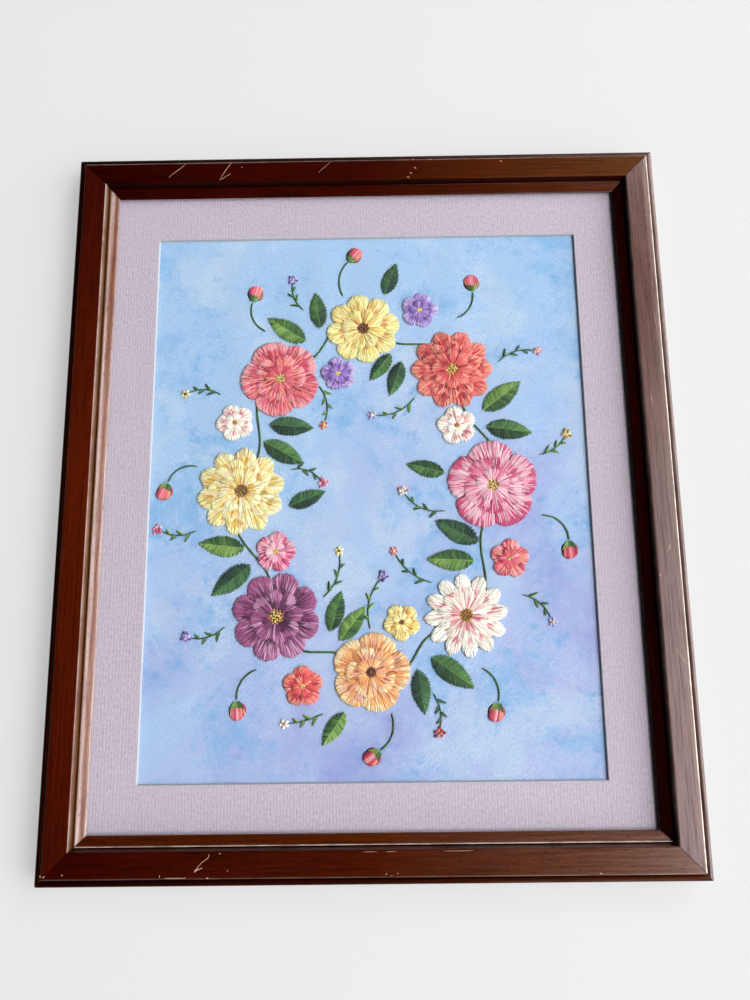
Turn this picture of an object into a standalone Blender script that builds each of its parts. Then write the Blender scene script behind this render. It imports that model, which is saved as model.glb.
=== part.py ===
"""Framed embroidery: a stretched cloth with raised stitched flowers, behind a window mat and a pane of glass, in a
mitred wooden frame that lies on its back.

Metres. +Z comes out of the picture's face and +Y points to its top. The origin is under the middle of the
frame's back. Heights are measured from the surface that the back lies on."""

import math

import bmesh
import bpy

MM = 0.001
GAP = 0.3 * MM  # air between neighbouring pieces

# Frame
FRAME_WIDTH = 400 * MM
FRAME_HEIGHT = 476 * MM
RAIL_WIDTH = 28 * MM
LIP_COVER = 6 * MM  # how far the moulding's lip reaches over the glass
LIP_UNDERSIDE = 12.2 * MM
SIDE_HEIGHT = 15.3 * MM  # flat outer side, below its bead
BEAD_RADIUS = 2.0 * MM
FACE_OUTER = (5.1 * MM, 19.4 * MM)  # (inset, height) of the broad face's outer edge
FACE_INNER = (19.6 * MM, 20.5 * MM)  # and of its inner edge
ARRIS_RADIUS = 0.8 * MM
GROOVE = (21.8 * MM, 15.6 * MM)
SIGHT_HEIGHT = 12.9 * MM  # top of the sight edge
SIGHT_CROWN = (5.1 * MM, 3.4 * MM)  # width and rise of the rounded inner slope

# What the rebate holds, from the glass down
FILL_CLEARANCE = 0.75 * MM  # at each side, to the rebate's wall
GLASS_THICKNESS = 1.9 * MM
MAT_THICKNESS = 1.4 * MM
CLOTH_THICKNESS = 1.0 * MM
BACKING_THICKNESS = 3.0 * MM
WINDOW_WIDTH = 288 * MM
WINDOW_HEIGHT = 362 * MM
WINDOW_DROP = 1 * MM  # the window is cut a little below the middle

FILL_WIDTH = FRAME_WIDTH - 2 * (RAIL_WIDTH - LIP_COVER + FILL_CLEARANCE)
FILL_HEIGHT = FRAME_HEIGHT - 2 * (RAIL_WIDTH - LIP_COVER + FILL_CLEARANCE)
GLASS_BOTTOM = LIP_UNDERSIDE - GAP - GLASS_THICKNESS
MAT_BOTTOM = GLASS_BOTTOM - GAP - MAT_THICKNESS
CLOTH_BOTTOM = MAT_BOTTOM - GAP - CLOTH_THICKNESS
BACKING_BOTTOM = CLOTH_BOTTOM - GAP - BACKING_THICKNESS

# Stitching: it stands on the cloth and stays under the glass
STITCH_BOTTOM = CLOTH_BOTTOM + CLOTH_THICKNESS + GAP
STITCH_RISE = GLASS_BOTTOM - GAP - STITCH_BOTTOM
STEM_RADIUS = 0.65 * MM
STEM_STEPS = 11

# The wreath is an ellipse about the window's middle. A turn on it is in degrees from +X towards +Y, a distance
# out is along its outward normal, and a heading is from that normal.
WREATH_HALF_WIDTH = 82 * MM
WREATH_HALF_HEIGHT = 114 * MM

# Crowns: (reach from the middle, share of the rise), from the middle to the rim
CROWNS = {
    "bloom": ((0.0, 1.0), (0.20, 0.92), (0.33, 0.50), (0.68, 0.98), (1.0, 0.45)),
    "blossom": ((0.0, 0.95), (0.30, 0.62), (0.68, 0.90), (1.0, 0.40)),
    "bud": ((0.0, 1.0), (0.60, 0.85), (1.0, 0.35)),
    "leaf": ((0.0, 0.60), (0.62, 0.90), (1.0, 0.35)),
}

# Outlines of flowers: petals, how deep the notches are cut, how sharp the petals' tips are, spokes in a petal
FLOWERS = {
    "cosmos": (8, 0.20, 0.55, 4),
    "dahlia": (10, 0.17, 1.00, 4),
    "mallow": (5, 0.20, 0.45, 6),
    "daisy": (12, 0.26, 0.80, 4),
    "blossom": (5, 0.24, 0.60, 4),
    "bud": (3, 0.12, 0.80, 4),
}
FURROW = 0.42  # how much lower the stitching lies between two petals
LEAF_SLENDERNESS = 0.46
LEAF_SPOKES = 14
MIDRIB = 0.40  # how much lower a leaf lies along its midrib

# turn on the wreath, out (mm), width (mm), kind, own turn, thread
BLOOMS = (
    (92, 0, 50, "cosmos", 10, "butter"),
    (47, 1, 56, "dahlia", 0, "coral"),
    (2, -1, 60, "mallow", 20, "pink"),
    (-44, 2, 54, "daisy", 5, "cream"),
    (-90, 1, 50, "mallow", 75, "peach"),
    (-136, 1, 57, "cosmos", 30, "plum"),
    (179, 2, 59, "dahlia", 12, "lemon"),
    (136, 0, 54, "mallow", 42, "rose"),
)

# turn on the wreath, out (mm), width (mm), own turn, thread
BLOSSOMS = (
    (71, 21, 26, 4, "lilac"),
    (26, -16, 27, 30, "cream"),
    (-21, 14, 26, 12, "rose"),
    (-67, -24, 24, 50, "butter"),
    (-113, 21, 26, 20, "coral"),
    (-158, -16, 27, 8, "pink"),
    (157, 14, 26, 40, "cream"),
    (114, -26, 24, 30, "lilac"),
)

# turn of the root on the wreath, out (mm), heading, length (mm)
LEAVES = (
    (75, -16, 163, 23),
    (67, -18, 191, 25),
    (28, 5, 16, 32),
    (22, 3, -25, 30),
    (-18, -8, 166, 31),
    (-25, -8, 196, 30),
    (-64, 5, 20, 32),
    (-71, 7, -18, 27),
    (-108, -15, 166, 26),
    (-115, -17, 197, 26),
    (-156, 2, 20, 31),
    (-162, 3, -20, 30),
    (161, -9, 164, 30),
    (154, -9, 194, 29),
    (118, 6, 20, 31),
    (110, 9, -20, 26),
    (84, 26, -12, 24),
    (-98, 27, -24, 24),
    (8, -32, 160, 25),
    (-175, -30, 198, 25),
)

# turn of the root on the wreath, out (mm), first heading, length (mm), how far it curls, width of its bud (mm)
SPRIGS = (
    (98, 26, 22, 27, -75, 12),
    (59, 30, -34, 24, 80, 12),
    (-7, 31, 12, 26, -95, 12),
    (-54, 30, 26, 25, -85, 12),
    (-84, 27, 18, 25, -80, 12),
    (172, 32, -14, 24, 90, 12),
    (126, 30, 24, 25, -85, 12),
    (-127, 31, -30, 24, 80, 12),
)

# Finishes: (sRGB colour out of 255, roughness)
FINISHES = {
    "stained_wood": ((74, 30, 18), 0.32),
    "glass": ((240, 246, 244), 0.03),
    "mat_face": ((203, 188, 200), 0.85),
    "cloth": ((198, 205, 232), 0.90),
    "hardboard": ((122, 92, 64), 0.80),
    "butter": ((243, 221, 138), 0.55),
    "coral": ((224, 96, 90), 0.55),
    "pink": ((230, 138, 160), 0.55),
    "cream": ((245, 230, 220), 0.55),
    "peach": ((240, 168, 112), 0.55),
    "plum": ((140, 74, 108), 0.55),
    "lemon": ((241, 229, 154), 0.55),
    "rose": ((217, 105, 122), 0.55),
    "lilac": ((183, 154, 208), 0.55),
    "leaf_green": ((72, 116, 62), 0.55),
    "stem_green": ((50, 88, 44), 0.55),
}
GLASS_IOR = 1.5


def clear_scene():
    for thing in list(bpy.data.objects):
        bpy.data.objects.remove(thing, do_unlink=True)


def new_collection(name, helper=False):
    made = bpy.data.collections.new(name)
    made.hide_render = helper
    bpy.context.scene.collection.children.link(made)
    return made


def linear(level):
    """Linear share of an sRGB level out of 255."""
    share = level / 255
    return share / 12.92 if share <= 0.04045 else ((share + 0.055) / 1.055) ** 2.4


def finished(name, finish):
    """The piece's own material."""
    colour, roughness = FINISHES[finish]
    made = bpy.data.materials.new(name)
    made.use_nodes = True
    shader = made.node_tree.nodes["Principled BSDF"]
    shader.inputs["Base Color"].default_value = (*map(linear, colour), 1)
    shader.inputs["Roughness"].default_value = roughness
    shader.inputs["Metallic"].default_value = 0
    if finish == "glass":
        shader.inputs["Transmission Weight"].default_value = 1
        shader.inputs["IOR"].default_value = GLASS_IOR
    return made


class Maker:
    """Names each piece, gives it its material and hangs it on the picture's origin."""

    def __init__(self):
        self.parts = new_collection("framed_embroidery")
        self.cutters = new_collection("cutters", helper=True)
        self.origin = bpy.data.objects.new("framed_embroidery_origin", None)
        self.parts.objects.link(self.origin)

    def add(self, name, data, finish, location=(0, 0, 0), turn=0.0):
        data.materials.append(finished(name, finish))
        piece = bpy.data.objects.new(name, data)
        piece.location = location
        piece.rotation_euler.z = turn
        piece.parent = self.origin
        self.parts.objects.link(piece)
        return piece

    def add_cutter(self, name, data, location):
        cutter = bpy.data.objects.new(name, data)
        cutter.location = location
        cutter.hide_render = True
        cutter.display_type = "WIRE"
        self.cutters.objects.link(cutter)
        return cutter


def mesh_from(bm, name, smooth_below=0.0):
    """The mesh, with edges under the angle smooth_below shaded smooth."""
    bmesh.ops.recalc_face_normals(bm, faces=bm.faces)
    mesh = bpy.data.meshes.new(name)
    bm.to_mesh(mesh)
    bm.free()
    if smooth_below:
        mesh.shade_smooth()
        mesh.set_sharp_from_angle(angle=smooth_below)
    return mesh


def arc(centre, radii, start, end, steps):
    """Points round an ellipse from one angle to another, in degrees."""
    angles = [math.radians(start + (end - start) * step / steps) for step in range(steps + 1)]
    return [(centre[0] + radii[0] * math.cos(a), centre[1] + radii[1] * math.sin(a)) for a in angles]


def moulding_section():
    """(inset, height) round the moulding: outer side, bead, step, broad face, groove, inner slope, lip, rebate."""
    bead = arc((BEAD_RADIUS, SIDE_HEIGHT), (BEAD_RADIUS, BEAD_RADIUS), 180, 30, 5)
    step = [(FACE_OUTER[0] - 0.8 * MM, SIDE_HEIGHT + 1.2 * MM), (FACE_OUTER[0] - 0.6 * MM, FACE_OUTER[1] - 0.6 * MM)]
    arris_centre = (FACE_INNER[0], FACE_INNER[1] - ARRIS_RADIUS)
    arris = arc(arris_centre, (ARRIS_RADIUS, ARRIS_RADIUS), 90, 0, 3)
    crown_centre = (RAIL_WIDTH - SIGHT_CROWN[0], SIGHT_HEIGHT)
    slope = arc(crown_centre, SIGHT_CROWN, 100, 0, 6)
    rebate_wall = RAIL_WIDTH - LIP_COVER
    rebate = [(RAIL_WIDTH, LIP_UNDERSIDE), (rebate_wall, LIP_UNDERSIDE), (rebate_wall, 0)]
    return [(0, 0), *bead, *step, FACE_OUTER, *arris, GROOVE, *slope, *rebate]


def rail_mesh(name, length):
    """One length of moulding along X with its outer side at Y = 0: the section drawn out, then each end sheared
    to 45 degrees and set back from the corner's diagonal by half the air of the mitre."""
    set_back = GAP / 2 * math.sqrt(2)
    bm = bmesh.new()
    first = bm.faces.new([bm.verts.new((-1, inset, height)) for inset, height in moulding_section()])
    drawn = bmesh.ops.extrude_face_region(bm, geom=[first])["geom"]
    far_end = [v for v in drawn if isinstance(v, bmesh.types.BMVert)]
    bmesh.ops.translate(bm, verts=far_end, vec=(2, 0, 0))
    for v in bm.verts:
        v.co.x *= length / 2 - v.co.y - set_back
    return mesh_from(bm, name, math.radians(35))


def make_rails(maker):
    rails = (
        ("rail_bottom", FRAME_WIDTH, (0, -FRAME_HEIGHT / 2, 0), 0),
        ("rail_right", FRAME_HEIGHT, (FRAME_WIDTH / 2, 0, 0), 90),
        ("rail_top", FRAME_WIDTH, (0, FRAME_HEIGHT / 2, 0), 180),
        ("rail_left", FRAME_HEIGHT, (-FRAME_WIDTH / 2, 0, 0), 270),
    )
    for name, length, location, turn in rails:
        maker.add(name, rail_mesh(name, length), "stained_wood", location, math.radians(turn))


def plate_mesh(name, width, height, thickness, taper=0.0):
    """A plate centred in X and Y with its bottom at Z = 0, its top wider than its bottom by taper at each side."""
    bm = bmesh.new()
    bmesh.ops.create_cube(bm, size=1)
    for v in bm.verts:
        spread = taper if v.co.z > 0 else 0
        v.co.x *= width + 2 * spread
        v.co.y *= height + 2 * spread
        v.co.z = (v.co.z + 0.5) * thickness
    return mesh_from(bm, name)


def make_fill(maker):
    """The glass, the mat, the cloth and the backing board that the rebate holds."""
    plates = (
        ("glass", GLASS_BOTTOM, GLASS_THICKNESS, "glass"),
        ("mat", MAT_BOTTOM, MAT_THICKNESS, "mat_face"),
        ("cloth", CLOTH_BOTTOM, CLOTH_THICKNESS, "cloth"),
        ("backing_board", BACKING_BOTTOM, BACKING_THICKNESS, "hardboard"),
    )
    for name, bottom, thickness, finish in plates:
        plate = plate_mesh(name, FILL_WIDTH, FILL_HEIGHT, thickness)
        piece = maker.add(name, plate, finish, (0, 0, bottom))
        if name == "mat":
            cut_window(maker, piece, bottom)


def cut_window(maker, mat, bottom):
    """The window's sides slope outwards at 45 degrees, so its stated size is at the mat's face. The cutter is
    longer than the mat is thick by one thickness at each side."""
    over = MAT_THICKNESS
    reach = 2 * over + MAT_THICKNESS
    narrow = 2 * (over + MAT_THICKNESS)
    data = plate_mesh("window_cutter", WINDOW_WIDTH - narrow, WINDOW_HEIGHT - narrow, reach, taper=reach)
    cutter = maker.add_cutter("window_cutter", data, (0, -WINDOW_DROP, bottom - over))
    window = mat.modifiers.new("window", "BOOLEAN")
    window.operation = "DIFFERENCE"
    window.object = cutter


def on_wreath(turn, out):
    """The point of the wreath at that turn, moved out along the normal, and the normal's angle."""
    angle = math.radians(turn)
    normal = math.atan2(math.sin(angle) / WREATH_HALF_HEIGHT, math.cos(angle) / WREATH_HALF_WIDTH)
    x = WREATH_HALF_WIDTH * math.cos(angle) + out * MM * math.cos(normal)
    y = WREATH_HALF_HEIGHT * math.sin(angle) + out * MM * math.sin(normal) - WINDOW_DROP
    return (x, y), normal


def stepped(point, angle, distance):
    return (point[0] + distance * math.cos(angle), point[1] + distance * math.sin(angle))


def turned_disc(crown, spokes):
    """A disc of unit reach, turned about Z from its crown's profile. Its top lies at Z = 1 and its foot at 0."""
    bm = bmesh.new()
    profile = [(reach, 1) for reach, _ in crown] + [(1, 0), (0, 0)]
    line = [bm.verts.new((reach, 0, level)) for reach, level in profile]
    edges = [bm.edges.new(ends) for ends in zip(line, line[1:])]
    bmesh.ops.spin(bm, geom=line + edges, axis=(0, 0, 1), cent=(0, 0, 0), angle=math.tau, steps=spokes)
    bmesh.ops.remove_doubles(bm, verts=bm.verts, dist=1e-4)
    return bm


def raised_mesh(name, crown, spokes, outline, relief):
    """Raised stitching: a turned disc whose rim follows outline(angle), a point, and whose top has the crown's
    heights times relief(angle, reach)."""
    shares = {round(reach, 3): share for reach, share in crown}
    bm = turned_disc(crown, spokes)
    for v in bm.verts:
        reach = math.hypot(v.co.x, v.co.y)
        angle = math.atan2(v.co.y, v.co.x)
        rise = v.co.z * shares[round(reach, 3)] * relief(angle, reach) * STITCH_RISE
        x, y = outline(angle)
        v.co = (x * reach, y * reach, rise)
    return mesh_from(bm, name, math.radians(60))


def flower_mesh(name, crown, kind, width):
    """Rim: half the width, less a notch between each two petals. Top: lower along the line between two petals."""
    petals, cut, sharpness, spokes = FLOWERS[kind]

    def outline(angle):
        on_petal = abs(math.cos(petals * angle / 2)) ** sharpness
        radius = width / 2 * (1 - cut * (1 - on_petal))
        return radius * math.cos(angle), radius * math.sin(angle)

    def relief(angle, reach):
        between = abs(math.sin(petals * angle / 2)) ** 4
        return 1 - FURROW * between * reach

    return raised_mesh(name, CROWNS[crown], petals * spokes, outline, relief)


def leaf_mesh(name, length):
    """Rim: a long oval with pinched ends, along X. Top: lower along the midrib."""

    def outline(angle):
        pinched = math.sin(angle) * abs(math.sin(angle)) ** 0.35
        return length / 2 * math.cos(angle), length / 2 * LEAF_SLENDERNESS * pinched

    def relief(angle, reach):
        return 1 - MIDRIB * (1 - abs(math.sin(angle))) ** 3 * reach

    return raised_mesh(name, CROWNS["leaf"], LEAF_SPOKES, outline, relief)


def stem_points(root, heading, length, curl):
    """Points along a stem whose heading turns evenly by curl from root to tip, and its last heading."""
    points = [root]
    for _ in range(STEM_STEPS):
        heading += curl / STEM_STEPS
        points.append(stepped(points[-1], heading, length / STEM_STEPS))
    return points, heading


def stem_curve(name, points):
    curve = bpy.data.curves.new(name, "CURVE")
    curve.dimensions = "3D"
    curve.bevel_depth = STEM_RADIUS
    curve.bevel_resolution = 1
    curve.use_fill_caps = True
    spline = curve.splines.new("POLY")
    spline.points.add(len(points) - 1)
    for spot, (x, y) in zip(spline.points, points):
        spot.co = (x, y, STEM_RADIUS, 1)
    return curve


def make_flowers(maker):
    for count, (turn, out, width, kind, own_turn, thread) in enumerate(BLOOMS, 1):
        name = f"bloom_{count}"
        place, _ = on_wreath(turn, out)
        data = flower_mesh(name, "bloom", kind, width * MM)
        maker.add(name, data, thread, (*place, STITCH_BOTTOM), math.radians(own_turn))
    for count, (turn, out, width, own_turn, thread) in enumerate(BLOSSOMS, 1):
        name = f"blossom_{count}"
        place, _ = on_wreath(turn, out)
        data = flower_mesh(name, "blossom", "blossom", width * MM)
        maker.add(name, data, thread, (*place, STITCH_BOTTOM), math.radians(own_turn))


def make_leaves(maker):
    for count, (turn, out, heading, length) in enumerate(LEAVES, 1):
        name = f"leaf_{count:02d}"
        root, normal = on_wreath(turn, out)
        lie = normal + math.radians(heading)
        middle = stepped(root, lie, length * MM / 2)
        maker.add(name, leaf_mesh(name, length * MM), "leaf_green", (*middle, STITCH_BOTTOM), lie)


def make_sprigs(maker):
    """Each is a curled stem with a bud on its tip."""
    for count, (turn, out, heading, length, curl, width) in enumerate(SPRIGS, 1):
        root, normal = on_wreath(turn, out)
        first = normal + math.radians(heading)
        points, last = stem_points(root, first, length * MM, math.radians(curl))
        stem = f"stem_{count}"
        maker.add(stem, stem_curve(stem, points), "stem_green", (0, 0, STITCH_BOTTOM))
        bud = f"bud_{count}"
        middle = stepped(points[-1], last, width * MM / 2 + 2 * GAP)
        maker.add(bud, flower_mesh(bud, "bud", "bud", width * MM), "rose", (*middle, STITCH_BOTTOM), last)


def main():
    clear_scene()
    maker = Maker()
    make_rails(maker)
    make_fill(maker)
    make_flowers(maker)
    make_leaves(maker)
    make_sprigs(maker)


main()
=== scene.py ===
"""Looks of a framed embroidery: a stained wooden moulding, a window mat, a printed cloth stretched behind
it, raised stitches in coloured thread, a pane of glass and a backing board.

Metres, in the object's own axes: +Z out of the picture's face, +Y towards its top, its back on Z = 0."""

import bpy
import numpy as np
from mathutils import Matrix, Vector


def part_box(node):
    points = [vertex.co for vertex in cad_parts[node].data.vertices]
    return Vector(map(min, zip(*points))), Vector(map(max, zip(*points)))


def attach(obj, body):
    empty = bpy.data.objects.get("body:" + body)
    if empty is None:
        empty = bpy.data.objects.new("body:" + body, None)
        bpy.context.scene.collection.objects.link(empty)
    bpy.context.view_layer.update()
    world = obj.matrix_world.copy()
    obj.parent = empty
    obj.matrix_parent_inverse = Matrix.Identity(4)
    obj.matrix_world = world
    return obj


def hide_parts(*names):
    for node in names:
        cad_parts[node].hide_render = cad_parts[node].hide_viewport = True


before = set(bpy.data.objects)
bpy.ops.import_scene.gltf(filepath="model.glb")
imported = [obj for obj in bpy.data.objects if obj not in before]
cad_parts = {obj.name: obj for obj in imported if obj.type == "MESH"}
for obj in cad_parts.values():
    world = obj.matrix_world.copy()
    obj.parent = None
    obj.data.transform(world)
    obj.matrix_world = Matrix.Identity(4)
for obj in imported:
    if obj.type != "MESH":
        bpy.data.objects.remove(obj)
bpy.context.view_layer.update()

MM = 0.001
TAU = 2 * np.pi

# Moulding, as in the solids: places in its section are (inset from the outer side, height)
FRAME_WIDTH = 400 * MM
FRAME_HEIGHT = 476 * MM
RAIL_WIDTH = 28 * MM
LIP_COVER = 6 * MM
LIP_UNDERSIDE = 12.2 * MM
SIDE_HEIGHT = 15.3 * MM
BEAD_RADIUS = 2.0 * MM
FACE_OUTER = (5.1 * MM, 19.4 * MM)
FACE_INNER = (19.6 * MM, 20.5 * MM)
ARRIS_RADIUS = 0.8 * MM
GROOVE = (21.8 * MM, 15.6 * MM)
SIGHT_HEIGHT = 12.9 * MM
SIGHT_CROWN = (5.1 * MM, 3.4 * MM)
MITRE_AIR = 0.3 * MM
RAIL_STATIONS = 170

# How each rail looks with age, with light and shade painted on it. Warm is partly the stain's own red and
# partly painted sheen, amber is a yellower brown painted as sheen where the light falls, and haze is partly
# scuffed lacquer and partly painted sheen and reflection on the parts that face the light. Grime is partly
# dirt in the quirks and partly painted shade on the parts turned from the light. Wear is partly worn wood and
# partly painted highlight lines on edges and crests. For each look and part: its level at the rail's start,
# middle and end, which run round the frame anticlockwise, or one level for the whole rail
BOTTOM_LOOKS = {
    "wear_and_highlight": {"edge": (0.08, 0.12, 0.15), "crest": (0.9, 1.2, 1.9)},
    "haze_and_sheen": {"face": (0.0, 0.0, 0.05), "slope": (0.0, 0.0, 0.12)},
    "warm_and_sheen": {"face": (0.0, 0.17, 0.08), "slope": (0.25, 0.3, 0.35), "outside": (0.0, 0.0, 0.1)},
    "amber_sheen": {"face": (0.0, 0.03, 0.28), "slope": (0.08, 0.15, 0.25), "outside": (0.0, 0.05, 0.15)},
    "grime_and_shade": {"quirk": 0.6, "outside": (0.8, 0.6, 0.2)},
    "gloss": {
        "face": (0.1, 0.4, 1.0),
        "slope": (0.3, 0.5, 1.0),
        "outside": (0.05, 0.1, 0.25),
        "wall": (0.4, 0.6, 0.8),
    },
}
RIGHT_LOOKS = {
    "wear_and_highlight": {"edge": (1.5, 1.3, 1.5), "arris": (0.25, 0.25, 0.35)},
    "haze_and_sheen": {"face": (0.0, 0.04, 0.15), "rise": (0.08, 0.12, 0.45), "outside": (0.22, 0.3, 0.6)},
    "warm_and_sheen": {"face": 0.12, "stripe": 0.08},
    "grime_and_shade": {"quirk": 0.15, "wall": 0.8},
    "gloss": {"face": 1.0, "slope": 0.3, "outside": 0.9},
}
TOP_LOOKS = {
    "wear_and_highlight": {"edge": 0.3, "crest": (0.15, 0.0, 0.0)},
    "haze_and_sheen": {"outside": (0.2, 0.1, 0.05)},
    "warm_and_sheen": {"face": (0.14, 0.05, 0.0), "slope": (0.08, 0.04, 0.0)},
    "amber_sheen": {"face": (0.32, 0.0, 0.0), "slope": (0.12, 0.0, 0.0)},
    "grime_and_shade": {"quirk": 0.8, "outside": (0.3, 0.8, 1.0), "wall": (0.5, 0.9, 1.0)},
    "gloss": {"face": (0.25, 0.1, 0.0), "slope": (0.4, 0.1, 0.05), "outside": (0.6, 0.4, 0.3)},
}
LEFT_LOOKS = {
    "wear_and_highlight": {"crest": 0.15, "arris": (0.4, 0.32, 0.3)},
    "haze_and_sheen": {"high": (0.4, 0.45, 0.45), "sight": 0.5, "slope": 0.1},
    "warm_and_sheen": {"face": (0.2, 0.55, 0.3), "slope": 0.5},
    "amber_sheen": {"face": (0.0, 0.03, 0.0), "slope": 0.25, "wall": 0.35},
    "grime_and_shade": {"quirk": 1.0, "outside": 1.0, "rise": (0.3, 0.25, 0.3), "stripe": 0.4},
    "gloss": {"face": 0.6, "slope": 0.85, "wall": 1.0, "stripe": (-0.55, -0.5, -0.5)},
}

# Scratches and chips on the faces: widths (mm) and the points (mm) each one runs through
SCRATCHES = (
    (0.45, ((-125.4, 232.4), (-128.9, 228.7), (-132.7, 225.6), (-136.7, 221.4))),
    (0.4, ((-93.2, 233.3), (-97.4, 226.3), (-101.2, 218.9)), ((-93.6, 224.2), (-98.2, 220.6), (-100.9, 219))),
    (0.22, ((-24.1, 232.2), (-28.7, 227.8), (-33, 223.4)), ((191.3, 118.2), (192.4, 106.1), (192.8, 94.1))),
    (
        0.4,
        ((-96.4, -218.9), (-96, -220.1), (-96.9, -221.7), (-100, -223.5), (-103.2, -227), (-104.5, -228.7)),
    ),
    (1.0, ((-102.6, -226.7), (-105.1, -229.3)), ((-97.7, -232.7), (-96.4, -232.5))),
    (1.0, ((-194.1, -231.6), (-192.7, -230.8))),
    (0.7, ((-100, -226.9), (-103.1, -228.1), (-104.9, -229.3)), ((-195.7, -230.3), (-195.2, -231.7))),
    (0.55, ((-122.9, -232.5), (-115.8, -232.6), (-109.6, -232.5)), ((-125.1, -230.9), (-125, -232.3))),
    (0.8, ((-183, -230.3), (-182, -230.3)), ((-90.2, -219), (-89.3, -219))),
    (0.8, ((-85.5, -228.7), (-84.9, -228.7))),
    (0.35, ((-5.6, -218.9), (2.6, -218.8)), ((7.9, -218.9), (13.8, -218.8)), ((42, -218.9), (59, -218.8))),
    (0.5, ((7.4, -232), (8.3, -230.8)), ((10.6, -232.2), (11.4, -232.1)), ((14.2, -231.1), (15, -231.1))),
    (0.9, ((33.8, 226.9), (35.4, 225.7)), ((30.9, 222.6), (32.1, 221.6)), ((28.6, 219), (30.4, 218.8))),
    (0.8, ((-86.4, 229.1), (-85.6, 228.9)), ((32.4, 233), (33.6, 233)), ((45, 233), (46, 233))),
    (0.8, ((93.7, 231), (95, 230)), ((189.1, -39.1), (187.6, -44)), ((180.9, -57.9), (181.3, -59.6))),
    (0.8, ((132.4, -232.3), (134.2, -232.3))),
    (0.4, ((187, -102.2), (190.2, -108.3), (194, -113.8)), ((184.5, 60), (185.2, 51))),
)

# Window of the mat, at its face
WINDOW_WIDTH = 288 * MM
WINDOW_HEIGHT = 362 * MM
WINDOW_DROP = 1 * MM

# Heights of the flat pieces come from their solids
MAT_LOW, MAT_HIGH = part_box("mat")
CLOTH_LOW, CLOTH_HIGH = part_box("cloth")
CLOTH_TOP = CLOTH_HIGH.z
STITCH_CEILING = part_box("glass")[0].z - 0.06 * MM

# Wreath, as in the solids
WREATH_HALF_WIDTH = 82 * MM
WREATH_HALF_HEIGHT = 114 * MM
LEAF_SLENDERNESS = 0.46

# Outline of a bud: petals, how deep the notches are cut, bluntness of the tips
BUD_OUTLINE = (3, 0.12, 0.80)

# Rings of petals, outermost first: petals, half turns on, outer and inner share of half the width, notch,
# bluntness of the tips, rows of stitches
RINGS = {
    "cosmos": ((8, 0, 1.0, 0.42, 0.20, 0.55, 3), (8, 1, 0.62, 0.14, 0.16, 0.7, 2)),
    "dahlia": (
        (10, 0, 1.0, 0.56, 0.17, 1.0, 2),
        (10, 1, 0.76, 0.36, 0.16, 1.0, 2),
        (8, 0, 0.52, 0.14, 0.16, 0.9, 2),
    ),
    "mallow": (
        (5, 0, 1.0, 0.40, 0.20, 0.45, 3),
        (5, 1, 0.66, 0.26, 0.18, 0.5, 2),
        (5, 0, 0.40, 0.12, 0.14, 0.5, 1),
    ),
    "daisy": ((12, 0, 1.0, 0.46, 0.26, 0.8, 3), (12, 1, 0.68, 0.14, 0.22, 0.8, 2)),
    "blossom": ((5, 0, 1.0, 0.34, 0.24, 0.6, 2), (5, 1, 0.56, 0.10, 0.16, 0.6, 1)),
}

# turn on the wreath, out (mm), width (mm), own turn, thread
BLOSSOMS = (
    (71, 21, 26, 4, "lilac"),
    (26, -16, 27, 30, "cream"),
    (-21, 14, 26, 12, "rose"),
    (-67, -24, 24, 50, "butter"),
    (-113, 21, 26, 20, "coral"),
    (-158, -16, 27, 8, "pink"),
    (157, 14, 26, 40, "cream"),
    (114, -26, 24, 30, "lilac"),
)

# kind, and as a blossom's
BLOOMS = (
    ("cosmos", 92, 0, 50, 10, "butter"),
    ("dahlia", 47, 1, 56, 0, "coral"),
    ("mallow", 2, -1, 60, 20, "pink"),
    ("daisy", -44, 2, 54, 5, "cream"),
    ("mallow", -90, 1, 50, 75, "peach"),
    ("cosmos", -136, 1, 57, 30, "plum"),
    ("dahlia", 179, 2, 59, 12, "lemon"),
    ("mallow", 136, 0, 54, 42, "rose"),
)

# turn of the root on the wreath, out (mm), heading, length (mm)
LEAVES = (
    (75, -16, 163, 23),
    (67, -18, 191, 25),
    (28, 5, 16, 32),
    (22, 3, -25, 30),
    (-18, -8, 166, 31),
    (-25, -8, 196, 30),
    (-64, 5, 20, 32),
    (-71, 7, -18, 27),
    (-108, -15, 166, 26),
    (-115, -17, 197, 26),
    (-156, 2, 20, 31),
    (-162, 3, -20, 30),
    (161, -9, 164, 30),
    (154, -9, 194, 29),
    (118, 6, 20, 31),
    (110, 9, -20, 26),
    (84, 26, -12, 24),
    (-98, 27, -24, 24),
    (8, -32, 160, 25),
    (-175, -30, 198, 25),
)

# turn of the root on the wreath, out (mm), first heading, length (mm), how far it curls, width of its bud
# (mm)
SPRIGS = (
    (98, 26, 22, 27, -75, 12),
    (59, 30, -34, 24, 80, 12),
    (-7, 31, 12, 26, -95, 12),
    (-54, 30, 26, 25, -85, 12),
    (-84, 27, 18, 25, -80, 12),
    (172, 32, -14, 24, 90, 12),
    (126, 30, 24, 25, -85, 12),
    (-127, 31, -30, 24, 80, 12),
)
STEM_STEPS = 11

# Small sprays: turn on the wreath, out (mm), first heading, length (mm), how far it curls, thread
SPRAYS = (
    (47, -31, 200, 30, -60, "lilac"),
    (-8, -32, 200, 30, -70, "cream"),
    (-40, -27, 200, 30, -50, "rose"),
    (-90, -26, 200, 34, -60, "lilac"),
    (-130, -30, 175, 30, 60, "butter"),
    (170, -30, 205, 22, -70, "pink"),
    (128, -24, 175, 26, -60, "coral"),
    (112, 26, 25, 22, -60, "lilac"),
    (40, 30, 20, 26, -60, "pink"),
    (10, 32, 0, 22, 50, "butter"),
    (-30, 28, 15, 24, -60, "lilac"),
    (-70, 24, 10, 22, -50, "coral"),
    (-104, 31, -45, 22, -20, "cream"),
    (-142, 32, 20, 24, -60, "lilac"),
    (150, 30, -15, 22, 60, "butter"),
    (-170, 32, 25, 24, -60, "pink"),
)

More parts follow.
